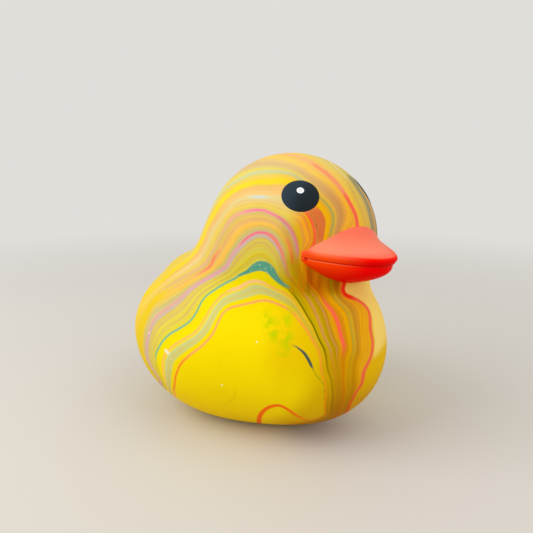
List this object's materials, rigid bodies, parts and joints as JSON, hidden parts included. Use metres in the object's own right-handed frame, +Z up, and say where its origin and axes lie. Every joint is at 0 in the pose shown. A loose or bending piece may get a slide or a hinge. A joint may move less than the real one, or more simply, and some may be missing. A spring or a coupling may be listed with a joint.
{
  "type": "squishy toy duck",
  "caption": "Soft moulded toy duck with a round body, ball head, wide bill and short tail, marbled all over, that stands on a flat foot and is squeezed in the hand.",
  "frame": {"origin": "on the flat foot, right under the centre of the belly", "axes": "+X forward out of the bill, +Y to the duck's left, +Z up"},
  "size_m": [0.1203, 0.0908, 0.1],
  "materials": {
    "marbled_skin": "satin skin of soft foam, marbled in yellow, peach, sage, teal, pink and coral",
    "bill_paint": "flexible satin coral paint",
    "eye_paint": "flexible matt blue-black paint",
    "eye_dot_paint": "flexible matt white paint"
  },
  "bodies": {
    "root": {"duck": "marbled_skin"}
  },
  "joints": []
}
